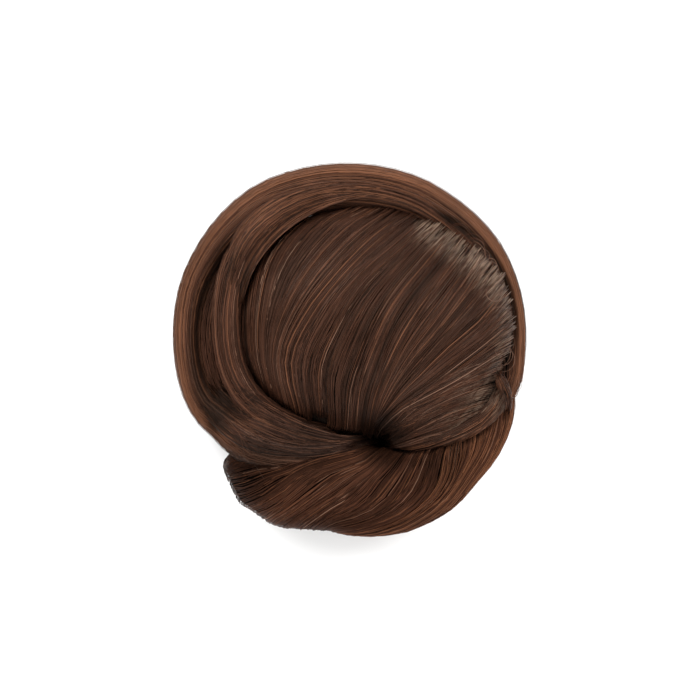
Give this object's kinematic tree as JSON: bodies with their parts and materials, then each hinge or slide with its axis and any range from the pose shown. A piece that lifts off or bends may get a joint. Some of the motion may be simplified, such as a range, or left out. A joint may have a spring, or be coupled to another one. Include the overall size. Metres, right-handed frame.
{
  "type": "top knot hairpiece",
  "caption": "Coiled bun of straight hair on an oval stretch cap, worn over the wearer's own gathered hair and held by a comb.",
  "frame": {"origin": "under the middle of the bun's bounding box, on the plane that the cap's rim rests on", "axes": "+Z points away from the wearer's head through the bun, +Y along the bun's longer side from the fan-shaped roll to the top of the outer wrap, +X towards the root line"},
  "size_m": [0.1262, 0.1332, 0.066],
  "materials": {
    "net": "matte stretch mesh, dark brown",
    "comb_plastic": "satin dark brown plastic",
    "hair_crown": "straight silky synthetic hair, dark chocolate brown",
    "hair_lip": "straight silky synthetic hair, dark chocolate brown",
    "hair_wrap": "straight silky synthetic hair, chestnut brown",
    "hair_inner": "straight silky synthetic hair, chestnut brown",
    "hair_under": "straight silky synthetic hair, dark brown",
    "hair_roll": "straight silky synthetic hair, dark chocolate brown",
    "hair_tuck": "straight silky synthetic hair, chestnut brown"
  },
  "bodies": {
    "root": {"base_cap": "net", "comb": "comb_plastic", "crown_sweep": "hair_crown", "knot_lip": "hair_lip", "outer_wrap": "hair_wrap", "inner_lock": "hair_inner", "under_lock": "hair_under", "bottom_roll": "hair_roll", "tuck_lock": "hair_tuck"}
  },
  "joints": []
}
